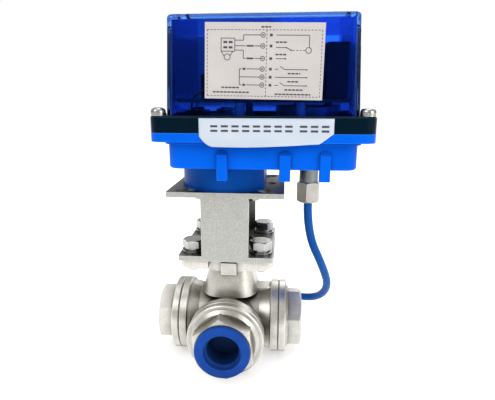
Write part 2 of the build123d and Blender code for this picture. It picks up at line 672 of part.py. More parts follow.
def make_gland():
    body = disc(gland_radius, 74.0, base_bottom - 1.2, gland_x, gland_y)
    body = body + disc(4.5, base_bottom - 1.5, 96.6, gland_x, gland_y)
    body = body + hexagon_bar(11.4, 84.2, base_bottom - 1.2, 20, gland_x, gland_y)
    nodes["gland_body"] = body - disc(3.5, 70, 100, gland_x, gland_y)
    nodes["gland_locknut"] = (hexagon_bar(12.0, floor_top, floor_top + 2.2, 20, gland_x, gland_y)
                              - disc(4.55, 90, 100, gland_x, gland_y))
    nut = hexagon_bar(gland_flats, gland_nut_bottom, gland_nut_top, 19, gland_x, gland_y)
    corner = gland_flats / sqrt(3)
    turned = disc(corner, gland_nut_bottom, gland_nut_top, gland_x, gland_y)
    turned = fillet(turned.edges().group_by(Axis.Z)[0], 2.6)
    turned = chamfer(turned.edges().group_by(Axis.Z)[-1], 0.5)
    nut = nut & turned
    nut = nut - disc(2.6, 60, 80, gland_x, gland_y) - disc(4.5, 66.4, 74.0, gland_x, gland_y)
    nodes["gland_nut"] = nut - disc(gland_radius + 0.02, 73.9, 80, gland_x, gland_y)
    nodes["gland_seal"] = ring(4.4, 2.4, 66.6, 73.8, gland_x, gland_y)


def route_radii(points):
    """Radius at each inner corner: as large as its two runs allow."""
    radii = []
    for before, corner, after in zip(points, points[1:], points[2:]):
        run_in = Vector(*corner) - Vector(*before)
        run_out = Vector(*after) - Vector(*corner)
        turn = radians(run_in.get_angle(run_out))
        radii.append(0.45 * min(run_in.length, run_out.length) / tan(turn / 2))
    return radii


def make_cable():
    radii = route_radii(cable_route)
    path = FilletPolyline(*cable_route, radius=radii)
    lead = sweep(Plane(path @ 0, z_dir=path % 0) * Circle(cable_radius), path=path)
    print("cable radii", [round(r, 1) for r in radii])
    print("cable stretch", round(path.length, 1), "volume ratio",
          round(lead.volume / (pi * cable_radius ** 2 * path.length), 4))
    coil_inner = coil_outer_turn - coil_step * coil_turns
    coil_low = cable_on_floor - cable_radius
    coil_high = coil_low + cable_diameter
    outside = coil_outer_turn + cable_radius
    coil = ring(outside, coil_inner - cable_radius, coil_low, coil_high, coil_x, coil_y)
    print("coil length", round(2 * pi * coil_turns * (coil_outer_turn + coil_inner) / 2, 1))
    nodes["cable_lead"] = lead
    nodes["cable_coil"] = coil
    tie_outer = outside + 0.7
    tie_inner = coil_inner - cable_radius - 0.7
    tie = block((tie_inner, tie_outer), (-1.6, 1.6), (coil_low - 0.5, coil_high + 0.6))
    nodes["cable_tie"] = Pos(coil_x, coil_y, 0) * Rot(0, 0, 215) * tie - coil
    nodes["cable_cores"] = make_cores(coil_inner)


def make_cores(coil_inner):
    """Five bare-ended cores that leave the inner end of the coil."""
    start = radians(60)
    heading = Vector(-sin(start), cos(start), 0)
    across = Vector(cos(start), sin(start), 0)
    end = Vector(coil_x, coil_y, cable_on_floor) + across * coil_inner
    cores = []
    for k in range(5):
        angle = 2 * pi * k / 5
        begin = end + across * (1.4 * cos(angle)) + Vector(0, 0, 1.4 * sin(angle))
        spread = heading * 2.4 * (k - 2)
        down = Vector(0, 0, floor_level + core_radius + 0.05 - begin.Z)
        middle = begin + heading * 5.0
        last = middle + heading * 9.0 - across * (13.0 + 1.5 * (k % 2)) + spread + down
        line = FilletPolyline(begin, middle, last, radius=5.0)
        cores.append(sweep(Plane(line @ 0, z_dir=line % 0) * Circle(core_radius), path=line))
    return group(cores)


make_valve()
make_bracket_group()
make_housing()
make_drive()
make_gear_box_plates()
make_electrics()
make_gland()
make_cable()

# The origin is the middle of the footprint without the cable, on the floor.
right_end = box_x + rim_length / 2
front_end = -(port_reach + 0.1 + plug_flange)
back_end = rim_width / 2
origin_shift = Pos((port_reach - right_end) / 2, -(front_end + back_end) / 2, flange_radius)
for name, shape in nodes.items():
    export_step(origin_shift * shape, os.path.join("parts", name + ".step"))
print(len(nodes), "nodes; shift", origin_shift.position)
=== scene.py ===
import json
import math
import bpy
from mathutils import Matrix, Vector


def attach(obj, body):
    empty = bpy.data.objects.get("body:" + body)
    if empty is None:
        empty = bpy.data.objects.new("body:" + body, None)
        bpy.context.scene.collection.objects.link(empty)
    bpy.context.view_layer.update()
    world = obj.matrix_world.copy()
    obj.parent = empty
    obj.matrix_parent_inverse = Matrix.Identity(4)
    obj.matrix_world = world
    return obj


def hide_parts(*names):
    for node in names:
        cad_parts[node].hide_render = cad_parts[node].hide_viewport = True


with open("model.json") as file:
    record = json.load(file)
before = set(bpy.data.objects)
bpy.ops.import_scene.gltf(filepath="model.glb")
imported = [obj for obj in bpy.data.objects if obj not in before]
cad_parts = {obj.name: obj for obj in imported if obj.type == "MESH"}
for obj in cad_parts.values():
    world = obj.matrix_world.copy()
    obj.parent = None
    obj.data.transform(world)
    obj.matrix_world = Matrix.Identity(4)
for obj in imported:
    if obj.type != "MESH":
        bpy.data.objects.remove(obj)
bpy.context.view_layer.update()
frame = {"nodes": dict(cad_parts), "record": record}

nodes = frame["nodes"]
record = frame["record"]
mm = 0.001

# the middle of the ball, half-way between the two open ports
portPlaces = [Vector(mount["pos_m"]) for mount in record["mounts"] if mount["kind"] == "threaded_hole"]
ballCentre = (portPlaces[0] + portPlaces[1]) / 2


def place(x, y, z):
    return ballCentre + Vector((x, y, z)) * mm  # millimetres from the ball's centre


def addPiece(name, points, faces, body="housing", smooth=True):
    mesh = bpy.data.meshes.new(name)
    mesh.from_pydata([tuple(point) for point in points], [], faces)
    mesh.validate()
    if smooth:
        mesh.polygons.foreach_set("use_smooth", [True] * len(mesh.polygons))
    piece = bpy.data.objects.new(name, mesh)
    bpy.context.scene.collection.objects.link(piece)
    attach(piece, body)
    return piece


def addTube(name, points, radius, body="housing", order=3):
    curve = bpy.data.curves.new(name, "CURVE")
    curve.dimensions = "3D"
    curve.bevel_depth = 1.0  # scaled by each point's radius, so that the bounds come out true
    curve.bevel_resolution = 5
    curve.use_fill_caps = True
    curve.resolution_u = 8
    line = curve.splines.new("NURBS")
    line.points.add(len(points) - 1)
    for spot, point in zip(line.points, points):
        spot.co = (*point, 1.0)
        spot.radius = radius
    line.order_u = order
    line.use_endpoint_u = True
    piece = bpy.data.objects.new(name, curve)
    bpy.context.scene.collection.objects.link(piece)
    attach(piece, body)
    return piece


# ---- camera

camera = {"place": (28.84, -227.97, 123.78), "turn": 0.086, "dip": 0.238, "lens": 31.13}


def setCamera(look):
    data = bpy.data.cameras.new("camera")
    data.lens = look["lens"]
    data.sensor_width = 36.0
    data.clip_start = 0.01
    seen = bpy.data.objects.new("camera", data)
    seen.location = place(*look["place"])
    seen.rotation_euler = (math.pi / 2 - look["dip"], 0.0, look["turn"])
    bpy.context.scene.collection.objects.link(seen)
    bpy.context.scene.camera = seen


setCamera(camera)
print("camera set")

# ---- cable

cable = {
    "radius": 0.0025,
    "length": 0.452,
    "coilMiddle": (-0.007, 0.047),
    "coilHeight": -0.0172,
    "coilOuter": 0.0302,
    "coilStep": 0.0052,
    "coilTurns": 2,
    "pointsPerTurn": 14,
    "coilStart": math.radians(60),
}

# from the gland down to the coil, metres from the ball's centre
cableRoute = [
    (0.0430, 0.0150, 0.0644),
    (0.0430, 0.0150, 0.0460),
    (0.0545, 0.0235, 0.0200),
    (0.0591, 0.0341, 0.0036),
    (0.0556, 0.0456, -0.0093),
    (0.0460, 0.0560, -0.0164),
    (0.0270, 0.0650, -0.0172),
    (0.0084, 0.0730, -0.0172),
]


def coilPoints(look):
    count = look["coilTurns"] * look["pointsPerTurn"]
    middleX, middleY = look["coilMiddle"]
    points = []
    for k in range(1, count + 1):
        part = k / look["pointsPerTurn"]
        reach = look["coilOuter"] - look["coilStep"] * part
        angle = look["coilStart"] + 2 * math.pi * part
        x = middleX + reach * math.cos(angle)
        y = middleY + reach * math.sin(angle)
        points.append((x, y, look["coilHeight"]))
    return points


cores = {
    "radius": 0.00065,
    "spread": 0.0014,
    "bareRadius": 0.00042,
    "hidden": 0.002,
    "straight": 0.005,
    "bared": 0.0008,
    "floorGap": 0.00005,
    "colours": {
        "coreBlue": (0.02, 0.10, 0.55),
        "coreRed": (0.55, 0.02, 0.02),
        "coreYellow": (0.75, 0.50, 0.02),
        "coreGreen": (0.03, 0.30, 0.06),
        "coreWhite": (0.75, 0.75, 0.72),
    },
}


def makeCable(look, coreLook):
    route = [ballCentre + Vector(point) for point in cableRoute + coilPoints(look)]
    sheath = addTube("supplyCable", route, look["radius"])
    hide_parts("cable_lead", "cable_coil")

    start = look["coilStart"]
    heading = Vector((-math.sin(start), math.cos(start), 0))
    across = Vector((math.cos(start), math.sin(start), 0))
    end = route[-1]
    onFloor = coreLook["radius"] + coreLook["floorGap"]
    ends = []
    for k, colour in enumerate(coreLook["colours"]):
        angle = 2 * math.pi * k / 5
        begin = end + across * coreLook["spread"] * math.cos(angle)
        begin.z += coreLook["spread"] * math.sin(angle)
        middle = begin + heading * coreLook["straight"]
        low = middle + heading * 0.0045 - across * 0.0065 + heading * 0.0012 * (k - 2)
        low.z = onFloor
        last = middle + heading * 0.009 - across * (0.013 + 0.0015 * (k % 2)) + heading * 0.0024 * (k - 2)
        last.z = onFloor
        core = addTube(colour, [begin - heading * coreLook["hidden"], middle, low, last], coreLook["radius"])
        onward = (last - low).normalized()
        bareRun = [last - onward * coreLook["hidden"], last + onward * coreLook["bared"]]
        bare = addTube(colour + "End", bareRun, coreLook["bareRadius"], order=2)
        ends += [core, bare]
    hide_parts("cable_cores")
    return sheath, ends


supplyCable, coreEnds = makeCable(cable, cores)
print("cable laid")

# ---- shared effects


def newGroup(name, inputs, outputs):
    group = bpy.data.node_groups.new(name, "ShaderNodeTree")
    for label, kind, value in inputs:
        socket = group.interface.new_socket(label, in_out="INPUT", socket_type=kind)
        socket.default_value = value
    for label, kind in outputs:
        group.interface.new_socket(label, in_out="OUTPUT", socket_type=kind)
    return group, group.nodes.new("NodeGroupInput"), group.nodes.new("NodeGroupOutput")


def addNode(tree, kind, values=None, **settings):
    node = tree.nodes.new("ShaderNode" + kind)
    for key, value in settings.items():
        setattr(node, key, value)
    for key, value in (values or {}).items():
        node.inputs[key].default_value = value
    return node


def mathStep(tree, operation, first, second=None, clamp=False):
    step = addNode(tree, "Math", operation=operation, use_clamp=clamp)
    for index, value in enumerate((first, second)):
        if value is None:
            continue
        if isinstance(value, (int, float)):
            step.inputs[index].default_value = value
        else:
            tree.links.new(value, step.inputs[index])
    return step.outputs[0]


def makeGrain():
    # two sizes of noise: a slow change of tone and a fine one for the bump
    inputs = [("Patch", "NodeSocketFloat", 60.0), ("Grain", "NodeSocketFloat", 1500.0),
              ("Stretch", "NodeSocketVector", (1, 1, 1)), ("Fine", "NodeSocketFloat", 0.5)]
    outputs = [("Tone", "NodeSocketFloat"), ("Height", "NodeSocketFloat")]
    group, start, end = newGroup("grain", inputs, outputs)
    where = addNode(group, "TexCoord")
    scaled = addNode(group, "VectorMath", operation="MULTIPLY")
    group.links.new(where.outputs["Object"], scaled.inputs[0])
    group.links.new(start.outputs["Stretch"], scaled.inputs[1])
    slow = addNode(group, "TexNoise", {"Detail": 3.0, "Roughness": 0.55})
    fine = addNode(group, "TexNoise", {"Detail": 2.0, "Roughness": 0.6})
    for noise, size in ((slow, "Patch"), (fine, "Grain")):
        group.links.new(scaled.outputs[0], noise.inputs["Vector"])
        group.links.new(start.outputs[size], noise.inputs["Scale"])
    mixed = addNode(group, "Mix", data_type="FLOAT")
    group.links.new(start.outputs["Fine"], mixed.inputs["Factor"])
    group.links.new(slow.outputs["Fac"], mixed.inputs["A"])
    group.links.new(fine.outputs["Fac"], mixed.inputs["B"])
    spread = addNode(group, "MapRange", {"From Min": 0.3, "From Max": 0.7})
    group.links.new(mixed.outputs["Result"], spread.inputs["Value"])
    group.links.new(spread.outputs["Result"], end.inputs["Tone"])
    group.links.new(fine.outputs["Fac"], end.inputs["Height"])
    return group


def makeEdgeHighlight():
    # painted highlight: one where the surface bends sharply, nothing on the flats
    inputs = [("Width", "NodeSocketFloat", 0.0004), ("Gain", "NodeSocketFloat", 6.0)]
    group, start, end = newGroup("edgeBand", inputs, [("Mask", "NodeSocketFloat")])
    soft = addNode(group, "Bevel", samples=4)
    hard = addNode(group, "NewGeometry")
    group.links.new(start.outputs["Width"], soft.inputs["Radius"])
    along = addNode(group, "VectorMath", operation="DOT_PRODUCT")
    group.links.new(soft.outputs["Normal"], along.inputs[0])
    group.links.new(hard.outputs["Normal"], along.inputs[1])
    off = mathStep(group, "SUBTRACT", 1.0, along.outputs["Value"], clamp=True)
    mask = mathStep(group, "MULTIPLY", off, start.outputs["Gain"], clamp=True)
    group.links.new(mask, end.inputs["Mask"])
    return group


def makeDust():
    # a thin pale film on what faces up
    inputs = [("Amount", "NodeSocketFloat", 0.2), ("Size", "NodeSocketFloat", 300.0)]
    group, start, end = newGroup("settledDust", inputs, [("Mask", "NodeSocketFloat")])
    face = addNode(group, "NewGeometry")
    parts = addNode(group, "SeparateXYZ")
    group.links.new(face.outputs["Normal"], parts.inputs[0])
    up = mathStep(group, "POWER", mathStep(group, "MAXIMUM", parts.outputs["Z"], 0.0), 3.0)
    where = addNode(group, "TexCoord")
    specks = addNode(group, "TexNoise", {"Detail": 5.0, "Roughness": 0.7})
    group.links.new(where.outputs["Object"], specks.inputs["Vector"])
    group.links.new(start.outputs["Size"], specks.inputs["Scale"])
    lit = mathStep(group, "MULTIPLY", up, specks.outputs["Fac"])
    group.links.new(mathStep(group, "MULTIPLY", lit, start.outputs["Amount"], clamp=True), end.inputs["Mask"])
    return group


def makeCreaseShade():
    # painted shade: darker where two surfaces meet, from an occlusion mask
    inputs = [("Reach", "NodeSocketFloat", 0.006), ("Amount", "NodeSocketFloat", 0.8)]
    group, start, end = newGroup("creaseShade", inputs, [("Mask", "NodeSocketFloat")])
    hollow = addNode(group, "AmbientOcclusion", samples=8)
    group.links.new(start.outputs["Reach"], hollow.inputs["Distance"])
    closed = mathStep(group, "SUBTRACT", 1.0, hollow.outputs["AO"])
    deep = mathStep(group, "MULTIPLY", closed, 1.5, clamp=True)
    mask = mathStep(group, "MULTIPLY", deep, start.outputs["Amount"], clamp=True)
    group.links.new(mask, end.inputs["Mask"])
    return group


grainGroup = makeGrain()
edgeGroup = makeEdgeHighlight()
dustGroup = makeDust()
creaseShadeGroup = makeCreaseShade()

# ---- finishes


def startMaterial(name):
    material = bpy.data.materials.new(name)
    material.use_nodes = True
    tree = material.node_tree
    tree.nodes.clear()
    shader = addNode(tree, "BsdfPrincipled")
    output = addNode(tree, "OutputMaterial")
    tree.links.new(shader.outputs[0], output.inputs["Surface"])
    return material, tree, shader


def useGroup(tree, group, values):
    node = addNode(tree, "Group", node_tree=group)
    for key, value in values.items():
        node.inputs[key].default_value = value
    return node


def blendColour(tree, mask, first, second):
    mix = addNode(tree, "Mix", data_type="RGBA")
    tree.links.new(mask, mix.inputs["Factor"])
    for index, value in ((6, first), (7, second)):
        if isinstance(value, tuple):
            mix.inputs[index].default_value = (*value, 1.0)
        else:
            tree.links.new(value, mix.inputs[index])
    return mix.outputs[2]


dustColour = (0.72, 0.72, 0.70)


def makeFinish(name, look):
    # deep to pale with the grain, then a painted highlight on edges, then dust, then painted shade in creases
    material, tree, shader = startMaterial(name)
    grainValues = {"Patch": look.get("patch", 60.0), "Grain": look.get("grain", 1500.0),
                   "Stretch": look.get("stretch", (1, 1, 1)), "Fine": look.get("fine", 0.4)}
    grain = useGroup(tree, grainGroup, grainValues)
    colour = blendColour(tree, grain.outputs["Tone"], look["deep"], look["pale"])
    if "edge" in look:
        edgeValues = {"Width": look.get("edgeWidth", 0.0004), "Gain": look.get("edgeGain", 5.0)}
        edge = useGroup(tree, edgeGroup, edgeValues)
        colour = blendColour(tree, edge.outputs["Mask"], colour, look["edge"])
    if "dust" in look:
        dust = useGroup(tree, dustGroup, {"Amount": look["dust"]})
        colour = blendColour(tree, dust.outputs["Mask"], colour, dustColour)
    if "paintedCreaseShade" in look:
        creaseValues = {"Reach": look.get("reach", 0.006), "Amount": look.get("shade", 0.8)}
        paintedCreaseShade = useGroup(tree, creaseShadeGroup, creaseValues)
        colour = blendColour(tree, paintedCreaseShade.outputs["Mask"], colour, look["paintedCreaseShade"])
    tree.links.new(colour, shader.inputs["Base Color"])
    rough = addNode(tree, "MapRange", {"To Min": look["rough"][0], "To Max": look["rough"][1]})
    tree.links.new(grain.outputs["Tone"], rough.inputs["Value"])
    tree.links.new(rough.outputs["Result"], shader.inputs["Roughness"])
    bumpValues = {"Strength": look.get("bump", 0.2), "Distance": look.get("bumpDepth", 0.0001)}
    bump = addNode(tree, "Bump", bumpValues)
    tree.links.new(grain.outputs["Height"], bump.inputs["Height"])
    tree.links.new(bump.outputs["Normal"], shader.inputs["Normal"])
    for key, value in look.get("shader", {}).items():
        shader.inputs[key].default_value = value
    return material


metal = {"Metallic": 1.0}

# in each finish below, the crease colour is painted shade where two surfaces meet
# in each finish below, the edge colour is a painted highlight laid on sharp edges
finishes = {
    "castSteel": {"deep": (0.44, 0.425, 0.37), "pale": (0.84, 0.825, 0.775), "edge": (0.88, 0.87, 0.83),
                  "paintedCreaseShade": (0.070, 0.064, 0.045), "reach": 0.0075, "shade": 0.95,
                  "patch": 90.0, "grain": 1800.0, "fine": 0.45, "rough": (0.30, 0.44), "bump": 0.35,
                  "bumpDepth": 0.00012, "edgeWidth": 0.0006, "edgeGain": 4.0, "shader": metal},
    "sheetSteel": {"deep": (0.33, 0.33, 0.305), "pale": (0.54, 0.54, 0.51), "edge": (0.74, 0.74, 0.71),
                   "paintedCreaseShade": (0.035, 0.042, 0.040), "reach": 0.020, "shade": 0.95,
                   "patch": 120.0, "grain": 1700.0, "fine": 0.85, "rough": (0.32, 0.52), "bump": 0.7,
                   "bumpDepth": 0.00010, "edgeWidth": 0.0005, "edgeGain": 4.0, "shader": metal},
    "turnedSteel": {"deep": (0.46, 0.45, 0.43), "pale": (0.68, 0.67, 0.65), "stretch": (1, 1, 22),
                    "patch": 30.0, "grain": 260.0, "rough": (0.18, 0.32), "bump": 0.15, "shader": metal},
    "brightZinc": {"deep": (0.36, 0.36, 0.35), "pale": (0.60, 0.60, 0.58), "edge": (0.90, 0.90, 0.89),
                   "paintedCreaseShade": (0.04, 0.045, 0.045), "reach": 0.008, "shade": 0.9,
                   "patch": 200.0, "grain": 1200.0, "rough": (0.16, 0.26), "bump": 0.03, "shader": metal},
    "satinNickel": {"deep": (0.32, 0.30, 0.27), "pale": (0.48, 0.46, 0.43), "edge": (0.88, 0.85, 0.80),
                    "patch": 150.0, "grain": 2200.0, "rough": (0.30, 0.42), "bump": 0.2, "shader": metal},
    "groundSteel": {"deep": (0.35, 0.35, 0.36), "pale": (0.55, 0.55, 0.55), "stretch": (20, 1, 1),
                    "patch": 30.0, "grain": 240.0, "rough": (0.25, 0.36), "bump": 0.2, "shader": metal},
    "dullNickel": {"deep": (0.13, 0.15, 0.15), "pale": (0.26, 0.28, 0.27), "edge": (0.50, 0.50, 0.46),
                   "patch": 150.0, "grain": 2200.0, "rough": (0.36, 0.50), "bump": 0.2, "shader": metal},
    "zincCan": {"deep": (0.32, 0.33, 0.34), "pale": (0.50, 0.51, 0.52), "patch": 120.0, "grain": 900.0,
                "rough": (0.30, 0.45), "bump": 0.15, "shader": metal},
    "hobbedBrass": {"deep": (0.50, 0.34, 0.12), "pale": (0.78, 0.58, 0.24), "patch": 200.0, "grain": 1500.0,
                    "rough": (0.22, 0.34), "bump": 0.15, "shader": metal},
    "sinteredBronze": {"deep": (0.30, 0.18, 0.08), "pale": (0.50, 0.32, 0.15),
                       "patch": 300.0, "grain": 3000.0, "fine": 0.8,
                       "rough": (0.45, 0.60), "bump": 0.4, "shader": metal},
    "azureMoulding": {"deep": (0.0005, 0.095, 0.66), "pale": (0.002, 0.135, 0.80), "edge": (0.03, 0.26, 0.95),
                      "patch": 35.0, "grain": 1400.0, "fine": 0.2, "rough": (0.34, 0.46), "bump": 0.12,
                      "bumpDepth": 0.00005, "edgeWidth": 0.0007, "edgeGain": 2.0, "dust": 0.03,
                      "paintedCreaseShade": (0.001, 0.030, 0.20), "reach": 0.010, "shade": 0.7,
                      "shader": {"Specular IOR Level": 0.12, "Specular Tint": (0.10, 0.55, 1.0, 1.0)}},
    "royalPlug": {"deep": (0.006, 0.046, 0.27), "pale": (0.011, 0.068, 0.36), "edge": (0.03, 0.10, 0.55),
                  "paintedCreaseShade": (0.007, 0.022, 0.075), "reach": 0.016, "shade": 1.0,
                  "patch": 90.0, "grain": 1100.0, "fine": 0.3, "rough": (0.34, 0.48), "bump": 0.15,
                  "bumpDepth": 0.00006,
                  "shader": {"Specular IOR Level": 0.15, "Specular Tint": (0.3, 0.6, 1.0, 1.0)}},
    "inkMoulding": {"deep": (0.0005, 0.004, 0.009), "pale": (0.001, 0.007, 0.015), "edge": (0.02, 0.05, 0.08),
                    "patch": 50.0, "grain": 1300.0, "fine": 0.3, "rough": (0.20, 0.34), "bump": 0.10,
                    "bumpDepth": 0.00005,
                    "shader": {"Specular IOR Level": 0.12, "Specular Tint": (0.2, 0.6, 1.0, 1.0)}},
    "softRubber": {"deep": (0.008, 0.008, 0.008), "pale": (0.020, 0.020, 0.020), "patch": 80.0,
                   "rough": (0.60, 0.80), "bump": 0.3},
    "whitePtfe": {"deep": (0.72, 0.72, 0.69), "pale": (0.86, 0.86, 0.84), "rough": (0.35, 0.50), "bump": 0.1,
                  "shader": {"Subsurface Weight": 0.15, "Subsurface Scale": 0.001}},
    "gearNylon": {"deep": (0.70, 0.67, 0.58), "pale": (0.84, 0.82, 0.75), "rough": (0.35, 0.48), "bump": 0.1,
                  "shader": {"Subsurface Weight": 0.1, "Subsurface Scale": 0.001}},
    "whiteNylon": {"deep": (0.74, 0.74, 0.72), "pale": (0.86, 0.86, 0.85),
                   "rough": (0.35, 0.48), "bump": 0.12},
    "boardGreen": {"deep": (0.003, 0.060, 0.020), "pale": (0.010, 0.120, 0.045),
                   "patch": 220.0, "grain": 1600.0, "rough": (0.20, 0.35), "bump": 0.2,
                   "shader": {"Coat Weight": 0.5, "Coat Roughness": 0.15}},
    "terminalGreen": {"deep": (0.015, 0.190, 0.060), "pale": (0.030, 0.300, 0.100), "rough": (0.35, 0.48),
                      "bump": 0.15},
    "darkParts": {"deep": (0.006, 0.006, 0.010), "pale": (0.020, 0.020, 0.028), "edge": (0.06, 0.06, 0.07),
                  "rough": (0.28, 0.42), "bump": 0.15},
    "cablePvc": {"deep": (0.004, 0.064, 0.29), "pale": (0.009, 0.100, 0.40), "patch": 40.0, "grain": 900.0,
                 "rough": (0.30, 0.42), "bump": 0.12, "bumpDepth": 0.00006,
                 "shader": {"Specular IOR Level": 0.15, "Specular Tint": (0.3, 0.7, 1.0, 1.0)}},
    "labelFilm": {"deep": (0.51, 0.475, 0.465), "pale": (0.58, 0.545, 0.53), "patch": 70.0, "grain": 2500.0,
                  "rough": (0.36, 0.48), "bump": 0.06},
    "noteFilm": {"deep": (0.49, 0.56, 0.65), "pale": (0.58, 0.64, 0.72), "patch": 45.0, "grain": 2200.0,
                 "rough": (0.26, 0.40), "bump": 0.08},
    "printInk": {"deep": (0.030, 0.028, 0.035), "pale": (0.070, 0.065, 0.075), "grain": 4000.0, "fine": 0.8,
                 "rough": (0.45, 0.60), "bump": 0.05},
    "copper": {"deep": (0.60, 0.28, 0.14), "pale": (0.85, 0.45, 0.26),
               "rough": (0.25, 0.38), "shader": metal},
}
made = {name: makeFinish(name, look) for name, look in finishes.items()}


cover = {
    "tint": (0.08, 0.24, 0.80),
    "paleTint": (0.11, 0.28, 0.86),
    "facingShadeTint": (0.030, 0.085, 0.48),
    "rough": (0.04, 0.09),
    "ior": 1.32,
    "glint": (0.12, 0.28, 0.95, 1.0),
}


def makeCoverFinish(look):
    material, tree, shader = startMaterial("blueCover")
    grain = useGroup(tree, grainGroup, {"Patch": 30.0, "Grain": 500.0, "Fine": 0.2})
    colour = blendColour(tree, grain.outputs["Tone"], look["tint"], look["paleTint"])
    # painted shade: the roof and the two ends are coloured deeper, by which way each face points
    face = addNode(tree, "NewGeometry")
    parts = addNode(tree, "SeparateXYZ")
    tree.links.new(face.outputs["Normal"], parts.inputs[0])
    sideways = mathStep(tree, "ABSOLUTE", parts.outputs["X"])
    turned = mathStep(tree, "MAXIMUM", sideways, mathStep(tree, "ABSOLUTE", parts.outputs["Z"]))
    facingShade = addNode(tree, "MapRange", {"From Min": 0.35, "From Max": 0.85})
    tree.links.new(turned, facingShade.inputs["Value"])
    colour = blendColour(tree, facingShade.outputs["Result"], colour, look["facingShadeTint"])
    tree.links.new(colour, shader.inputs["Base Color"])
    rough = addNode(tree, "MapRange", {"To Min": look["rough"][0], "To Max": look["rough"][1]})
    tree.links.new(grain.outputs["Tone"], rough.inputs["Value"])
    tree.links.new(rough.outputs["Result"], shader.inputs["Roughness"])
    bump = addNode(tree, "Bump", {"Strength": 0.05, "Distance": 0.0001})
    tree.links.new(grain.outputs["Height"], bump.inputs["Height"])
    tree.links.new(bump.outputs["Normal"], shader.inputs["Normal"])
    shader.inputs["Transmission Weight"].default_value = 1.0
    shader.inputs["IOR"].default_value = look["ior"]
    shader.inputs["Specular Tint"].default_value = look["glint"]
    return material


made["blueCover"] = makeCoverFinish(cover)

boss = {"reach": 26.6, "top": 90.4, "shade": (0.003, 0.060, 0.30)}


def paintBossShade(material, look):
    # painted shade: the boss under the base is coloured a deeper blue, though it is the same moulding as the
    # base
    tree = material.node_tree
    shader = next(node for node in tree.nodes if node.type == "BSDF_PRINCIPLED")
    plain = shader.inputs["Base Color"].links[0].from_socket
    where = addNode(tree, "TexCoord")
    parts = addNode(tree, "SeparateXYZ")
    tree.links.new(where.outputs["Object"], parts.inputs[0])
    # level distance from the stem's line
    fromX = mathStep(tree, "SUBTRACT", parts.outputs["X"], ballCentre.x)
    fromY = mathStep(tree, "SUBTRACT", parts.outputs["Y"], ballCentre.y)
    reach = mathStep(tree, "SQRT", mathStep(tree, "ADD", mathStep(tree, "MULTIPLY", fromX, fromX),
                                            mathStep(tree, "MULTIPLY", fromY, fromY)))
    near = mathStep(tree, "LESS_THAN", reach, look["reach"] * mm)
    low = mathStep(tree, "LESS_THAN", parts.outputs["Z"], ballCentre.z + look["top"] * mm)
    colour = blendColour(tree, mathStep(tree, "MULTIPLY", near, low), plain, look["shade"])
    tree.links.new(colour, shader.inputs["Base Color"])


paintBossShade(made["azureMoulding"], boss)

finishOfSlot = {
    "cast_stainless": "castSteel",
    "sheet_stainless": "sheetSteel",
    "turned_stainless": "turnedSteel",
    "bright_fasteners": "brightZinc",
    "white_ptfe": "whitePtfe",
    "blue_polyethylene": "royalPlug",
    "azure_plastic": "azureMoulding",
    "clear_blue_cover": "blueCover",
    "black_plastic": "inkMoulding",
    "black_rubber": "softRubber",
    "printed_paper": "labelFilm",
    "bronze": "sinteredBronze",
    "gear_steel": "groundSteel",
    "gear_nylon": "gearNylon",
    "brass": "hobbedBrass",
    "zinc_can": "zincCan",
    "nickel_plate": "satinNickel",
    "blue_pvc": "cablePvc",
    "white_nylon": "whiteNylon",
    "core_insulation": "cablePvc",
    "green_board": "boardGreen",
    "green_terminals": "terminalGreen",
    "dark_components": "darkParts",
}


def paint(piece, name):
    piece.data.materials.clear()
    piece.data.materials.append(made[name])


for entry in record["subparts"]:
    paint(nodes[entry["node"]], finishOfSlot[entry["material_slot"]])
paint(nodes["gland_body"], "dullNickel")
paint(supplyCable, "cablePvc")
for core in coreEnds:
    bare = core.name.endswith("End")
    tint = None if bare else cores["colours"][core.name]
    if not bare:
        deep = tuple(0.8 * value for value in tint)
        made[core.name] = makeFinish(core.name, {"deep": deep, "pale": tint, "rough": (0.35, 0.5)})
    paint(core, "copper" if bare else core.name)
print("finishes made")

# ---- printed label

label = {
    "middle": (19.1, 138.5),
    "size": (52.0, 32.2),
    "turn": math.radians(1.0),
    "lean": math.radians(2.5),
    "wallFront": -33.2,
    "wallFoot": 115.0,
    "proud": 0.40,
    "pen": 0.30,
}
circuitRows = (5.2, 9.7, 14.9, 19.3, 22.7, 26.1)  # the six terminals, from the top edge


class Print:
    # flat strokes on the label, millimetres from its top left corner

    def __init__(self, look):
        self.look = look
        self.points = []
        self.faces = []

    def spot(self, x, y):
        width, height = self.look["size"]
        across, up = x - width / 2, height / 2 - y
        turn = self.look["turn"]
        wideX = self.look["middle"][0] + across * math.cos(turn) + up * math.sin(turn)
        high = self.look["middle"][1] - across * math.sin(turn) + up * math.cos(turn)
        level = self.look["middle"][1] + up
        front = self.look["wallFront"] + math.tan(self.look["lean"]) * (level - self.look["wallFoot"])
        return place(wideX, front - self.look["proud"], high)

    def patch(self, corners):
        start = len(self.points)
        self.points += [self.spot(*corner) for corner in corners]
        self.faces.append(tuple(range(start, start + len(corners))))

    def stroke(self, *corners, pen=None):
        half = (pen or self.look["pen"]) / 2
        for (x1, y1), (x2, y2) in zip(corners, corners[1:]):
            run = math.hypot(x2 - x1, y2 - y1)
            sideX, sideY = -(y2 - y1) / run * half, (x2 - x1) / run * half
            self.patch([(x1 + sideX, y1 + sideY), (x2 + sideX, y2 + sideY),
                        (x2 - sideX, y2 - sideY), (x1 - sideX, y1 - sideY)])

    def dashes(self, start, end, dash=0.8, gap=0.7):
        run = math.dist(start, end)
        for k in range(int(run / (dash + gap)) + 1):
            first = k * (dash + gap) / run
            last = min(first + dash / run, 1.0)
            ends = [(start[0] + (end[0] - start[0]) * t, start[1] + (end[1] - start[1]) * t)
                    for t in (first, last)]
            if last > first:
                self.stroke(*ends)

    def circle(self, x, y, radius, sides=20):
        angles = [2 * math.pi * k / sides for k in range(sides + 1)]
        self.stroke(*[(x + radius * math.cos(angle), y + radius * math.sin(angle)) for angle in angles])

    def dot(self, x, y, radius=0.34):
        self.patch([(x + radius * math.cos(math.pi * k / 4), y + radius * math.sin(math.pi * k / 4))
                    for k in range(8)])


